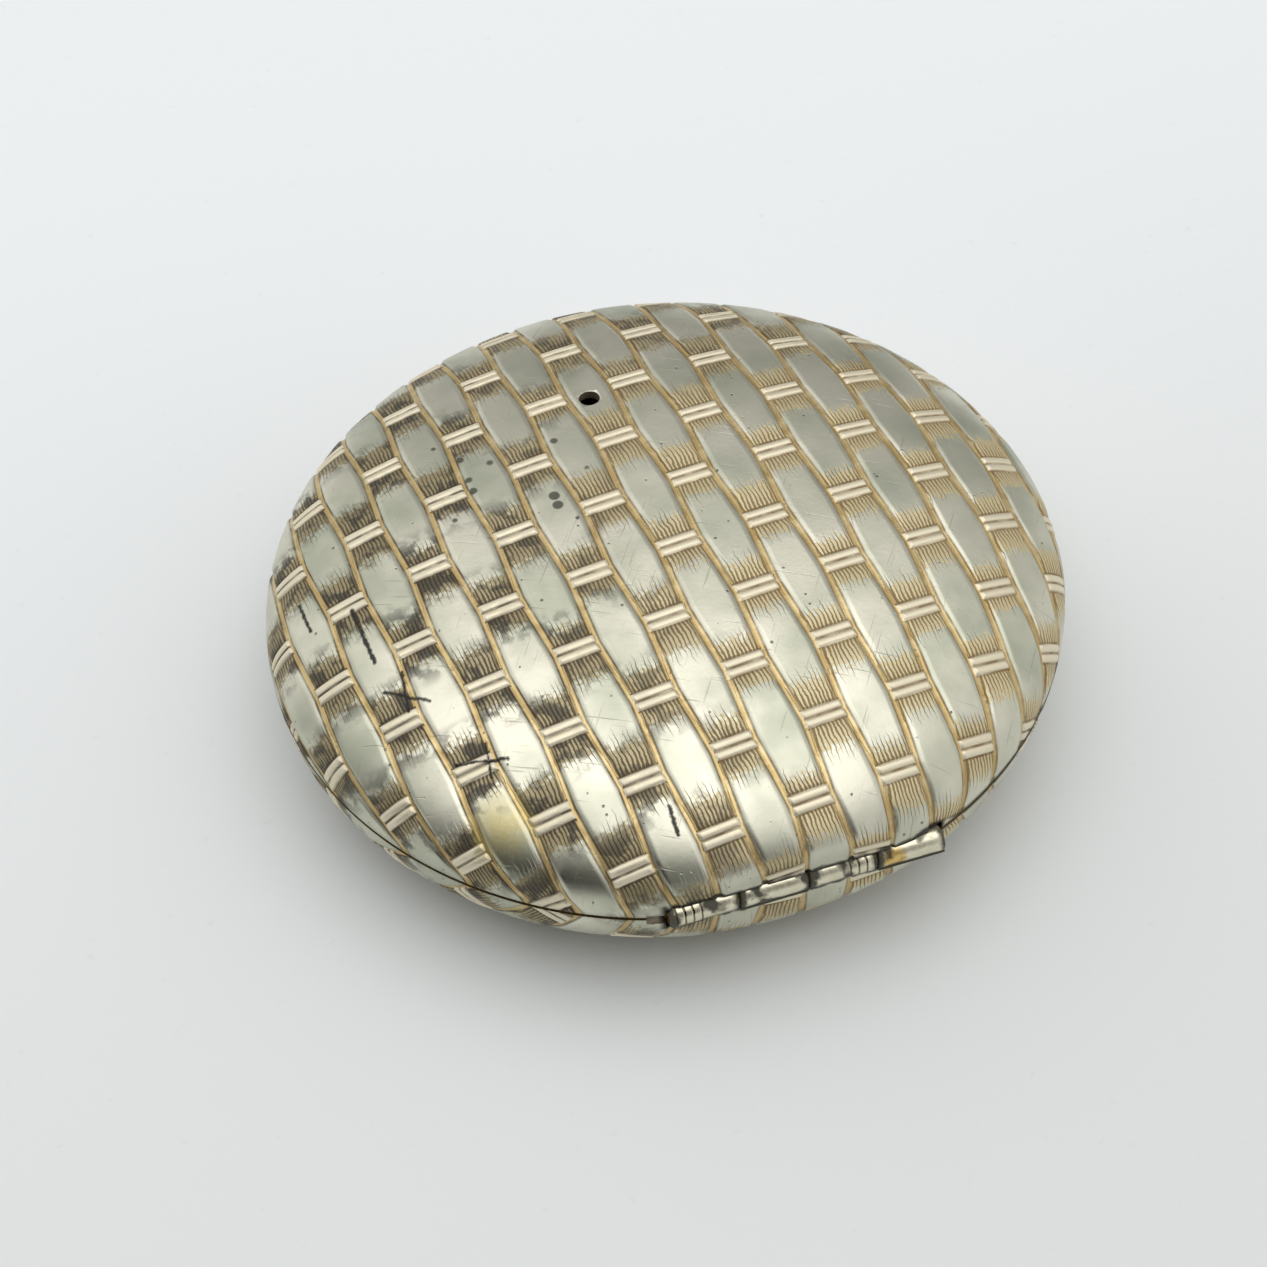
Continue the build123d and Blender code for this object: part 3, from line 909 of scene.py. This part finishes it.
# Distance along X to the nearest joint between two tubes
knuckle_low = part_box("lid_knuckle_left")[0][0]
knuckle_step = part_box("base_knuckle_left")[0][0] - knuckle_low
joint_at = add_node(tree, "ShaderNodeMath", {0: tube_x, 1: knuckle_low}, operation="SUBTRACT")
joint_at = add_node(tree, "ShaderNodeMath", {0: joint_at, 1: knuckle_step}, operation="FLOORED_MODULO")
joint_far = add_node(tree, "ShaderNodeMath", {0: knuckle_step, 1: joint_at}, operation="SUBTRACT")
joint_at = add_node(tree, "ShaderNodeMath", {0: joint_at, 1: joint_far}, operation="MINIMUM")
joint_at = add_node(
    tree, "ShaderNodeMath", {0: grain, 1: -0.6 * MM, 2: joint_at}, operation="MULTIPLY_ADD"
)
# Painted shade with black polish in the joints between tubes
joint_shade_and_polish = add_node(
    tree, "ShaderNodeMapRange", {"Value": joint_at, "From Min": 0.3 * MM, "From Max": 0.0}
)
# Painted shade on the tubes' undersides, below the axis
under_at = add_node(tree, "ShaderNodeMath", {0: cloud, 1: -1.2 * MM, 2: tube_z}, operation="MULTIPLY_ADD")
underside_shade = add_node(
    tree,
    "ShaderNodeMapRange",
    {"Value": under_at, "From Min": (axis_z - 0.55) * MM, "From Max": (axis_z - 0.95) * MM},
)
patch = add_node(tree, "ShaderNodeMapRange", {"Value": cloud, "From Min": 0.52, "From Max": 0.62})
# Painted shade in the joints and underneath, with dark patches at random
tube_shade_and_dirt = add_node(tree, "ShaderNodeMath", {0: joint_shade_and_polish, 1: underside_shade}, operation="MAXIMUM")
tube_shade_and_dirt = add_node(tree, "ShaderNodeMath", {0: tube_shade_and_dirt, 1: patch}, operation="MAXIMUM")

# Upright cuts 0.6 mm apart on two stretches of the lid's tubes, 2.4 mm long
tube_cut_half = 0.3
stretch_half = 1.2
cut_at = add_node(tree, "ShaderNodeMath", {0: tube_x, 1: tube_cut_half * MM}, operation="PINGPONG")
tube_cuts = add_node(
    tree, "ShaderNodeMapRange", {"Value": cut_at, "From Min": 0.1 * MM, "From Max": 0.03 * MM}
)
cut_stretches = 0.0
for stretch_middle in (-7.6, 4.9):
    inside_at = add_node(
        tree, "ShaderNodeMath", {0: tube_x, 1: stretch_middle * MM}, operation="SUBTRACT"
    )
    inside_at = add_node(tree, "ShaderNodeMath", {0: inside_at}, operation="ABSOLUTE")
    stretch = add_node(
        tree,
        "ShaderNodeMapRange",
        {
            "Value": inside_at,
            "From Min": (stretch_half + 0.1) * MM,
            "From Max": (stretch_half - 0.1) * MM,
        },
    )
    cut_stretches = add_node(tree, "ShaderNodeMath", {0: cut_stretches, 1: stretch}, operation="MAXIMUM")
tube_cuts = add_node(tree, "ShaderNodeMath", {0: tube_cuts, 1: cut_stretches}, operation="MULTIPLY")

# Bare brass, where the plate is rubbed through on the right-hand tube
rubbed_through = Vector((7.4, axis_y - 0.8, axis_z + 0.2)) * MM
brass_at = add_node(tree, "ShaderNodeVectorMath", {0: place, 1: rubbed_through}, operation="DISTANCE")
bare_brass = add_node(
    tree, "ShaderNodeMapRange", {"Value": brass_at, "From Min": 1.1 * MM, "From Max": 0.6 * MM}
)
colour = add_node(
    tree, "ShaderNodeMix", {0: grain, 6: linear("#ECE6D0"), 7: linear("#CBC5A8")}, data_type="RGBA"
)
for mask, strength, tint in (
    (bare_brass, 0.9, "#DDB765"),
    (tube_cuts, 0.85, "#4A3F29"),
    # Painted shade with black polish in the joints and under the tubes
    (tube_shade_and_dirt, 0.9, "#2A2C20"),
):
    factor = add_node(tree, "ShaderNodeMath", {0: mask, 1: strength}, operation="MULTIPLY")
    colour = add_node(tree, "ShaderNodeMix", {0: factor, 6: colour, 7: linear(tint)}, data_type="RGBA")
tree.links.new(colour, tube_shader.inputs["Base Color"])
metal_share = add_node(tree, "ShaderNodeMapRange", {"Value": tube_shade_and_dirt, "To Min": 1.0, "To Max": 0.3})
tree.links.new(metal_share, tube_shader.inputs["Metallic"])
tube_rough = add_node(tree, "ShaderNodeMapRange", {"Value": tube_shade_and_dirt, "To Min": 0.24, "To Max": 0.6})
tree.links.new(tube_rough, tube_shader.inputs["Roughness"])
relief = add_node(tree, "ShaderNodeMath", {0: grain, 1: 0.5, 2: tube_cuts}, operation="MULTIPLY_ADD")
bump = add_node(
    tree, "ShaderNodeBump", {"Height": relief, "Strength": 0.7, "Distance": 0.05 * MM}, invert=True
)
tree.links.new(bump, tube_shader.inputs["Normal"])

for knuckle_name in ("lid_knuckle_left", "lid_knuckle_right"):
    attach(make_knuckle(knuckle_name, *lid_leaf), "lid")
for knuckle_name in ("base_knuckle_left", "base_knuckle_right"):
    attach(make_knuckle(knuckle_name, *base_leaf), "base")

# The pin is hard-drawn brass wire: yellow, with fine brown lines along it
brass_wire = bpy.data.materials.new("drawn_brass_wire")
brass_wire.use_nodes = True
tree = brass_wire.node_tree
wire = tree.nodes["Principled BSDF"]
wire.inputs["Metallic"].default_value = 1.0
place = add_node(tree, "ShaderNodeTexCoord").node.outputs["Object"]
drawn = add_node(
    tree,
    "ShaderNodeVectorMath",
    {0: place, 1: (1 / (4 * MM), 1 / (0.1 * MM), 1 / (0.1 * MM))},
    operation="MULTIPLY",
)
draw_line = add_node(tree, "ShaderNodeTexNoise", {"Vector": drawn, "Scale": 1.0, "Detail": 2.0})
colour = add_node(
    tree, "ShaderNodeMix", {0: draw_line, 6: linear("#C99E4C"), 7: linear("#6B4E22")}, data_type="RGBA"
)
tree.links.new(colour, wire.inputs["Base Color"])
shine = add_node(tree, "ShaderNodeMapRange", {"Value": draw_line, "To Min": 0.25, "To Max": 0.5})
tree.links.new(shine, wire.inputs["Roughness"])
bump = add_node(tree, "ShaderNodeBump", {"Height": draw_line, "Strength": 0.4, "Distance": 0.02 * MM})
tree.links.new(bump, wire.inputs["Normal"])
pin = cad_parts["hinge_pin"]
pin.data.materials.clear()
pin.data.materials.append(brass_wire)

# ----------------------------------------------------------------------
# Inside. A thin collar soldered in the base's edge centres the closed lid, a low nib on it catches
# the lid, and a bearer inside each shell stiffens the hinge. All are brass with a gold wash.
for fitting in ("base_collar", "catch_nib", "lid_joint_bearer", "base_joint_bearer"):
    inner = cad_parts[fitting].data
    inner.materials.clear()
    inner.materials.append(gilt)

# ----------------------------------------------------------------------
# Floor. One large sheet of matt white paper, with a faint fibre in it. Painted shade makes it a little
# greyer near the camera than at the back.
bpy.ops.object.select_all(action="DESELECT")
bpy.ops.mesh.primitive_plane_add(size=3.0)
floor = bpy.context.object
floor.name = "floor"
paper = bpy.data.materials.new("paper")
paper.use_nodes = True
tree = paper.node_tree
sheet_shader = tree.nodes["Principled BSDF"]
place = add_node(tree, "ShaderNodeTexCoord").node.outputs["Object"]
pulp = add_node(tree, "ShaderNodeTexNoise", {"Vector": place, "Scale": 1 / (1.2 * MM), "Detail": 4.0})
# Painted shade: the paper's colour falls off towards the camera
shade = add_node(tree, "ShaderNodeSeparateXYZ", {0: place})
shade = add_node(
    tree,
    "ShaderNodeMapRange",
    {"Value": shade.node.outputs["Y"], "From Min": -70 * MM, "From Max": 90 * MM},
    interpolation_type="SMOOTHSTEP",
)
colour = add_node(
    tree, "ShaderNodeMix", {0: shade, 6: linear("#E4E7E6"), 7: linear("#F6F9FA")}, data_type="RGBA"
)
fibre = add_node(tree, "ShaderNodeMapRange", {"Value": pulp, "From Min": 0.66, "From Max": 0.8})
fibre = add_node(tree, "ShaderNodeMath", {0: fibre, 1: 0.1}, operation="MULTIPLY")
colour = add_node(tree, "ShaderNodeMix", {0: fibre, 6: colour, 7: linear("#9A9A94")}, data_type="RGBA")
tree.links.new(colour, sheet_shader.inputs["Base Color"])
sheet_shader.inputs["Roughness"].default_value = 0.85
bump = add_node(tree, "ShaderNodeBump", {"Height": pulp, "Strength": 0.15, "Distance": 0.05 * MM})
tree.links.new(bump, sheet_shader.inputs["Normal"])
floor.data.materials.append(paper)

# ----------------------------------------------------------------------
# Camera. A fairly long lens held close by hand: above the hinge side, a little to its left, and
# turned by about a degree.
target = Vector((-3.55, -3.07, base_edge)) * MM
azimuth = math.radians(-17.02)
elevation = math.radians(52.36)
roll = math.radians(-1.27)
camera_distance = 178.2 * MM
back = Vector((
    math.sin(azimuth) * math.cos(elevation),
    -math.cos(azimuth) * math.cos(elevation),
    math.sin(elevation),
))
bpy.ops.object.camera_add(location=target + back * camera_distance)
camera = bpy.context.object
look = (-back).to_track_quat("-Z", "Y")
camera.rotation_euler = (look @ Quaternion((0, 0, 1), roll)).to_euler()
camera.data.lens = 68.2
camera.data.sensor_width = 36
camera.data.clip_start = 0.01
bpy.context.scene.camera = camera

# ----------------------------------------------------------------------
# Light. A white tent that glows evenly, with soft patches that are brighter or darker: brightest
# overhead, a window on the left, and dark low on the left, far right and behind the camera.
bpy.context.scene.view_settings.view_transform = "Standard"
tent = bpy.data.worlds.new("light_tent")
bpy.context.scene.world = tent
tent.use_nodes = True
tree = tent.node_tree
way = add_node(tree, "ShaderNodeTexCoord")
glow = 0.79
# Each patch: the way to it, the cosines at its edge and at its full strength, and that strength
soft_boxes = [
    ((0.04, 0.02, 1.0), 0.74, 0.97, 1.12),
    ((-1.0, -0.25, 0.10), 0.60, 0.95, -0.50),
    ((-0.65, 0.40, 0.55), 0.72, 0.98, 0.22),
    ((0.45, 0.85, 0.25), 0.62, 0.98, -0.42),
    ((-0.30, -0.75, 0.45), 0.66, 0.96, -0.70),
]
for direction, edge, middle, strength in soft_boxes:
    facing = add_node(
        tree, "ShaderNodeVectorMath", {0: way, 1: Vector(direction).normalized()}, operation="DOT_PRODUCT"
    )
    facing = add_node(
        tree,
        "ShaderNodeMapRange",
        {"Value": facing, "From Min": edge, "From Max": middle, "To Max": strength},
        interpolation_type="SMOOTHSTEP",
    )
    glow = add_node(tree, "ShaderNodeMath", {0: facing, 1: glow}, operation="ADD")
tree.links.new(glow, tree.nodes["Background"].inputs["Strength"])
tree.nodes["Background"].inputs["Color"].default_value = linear("#FFFFFF")
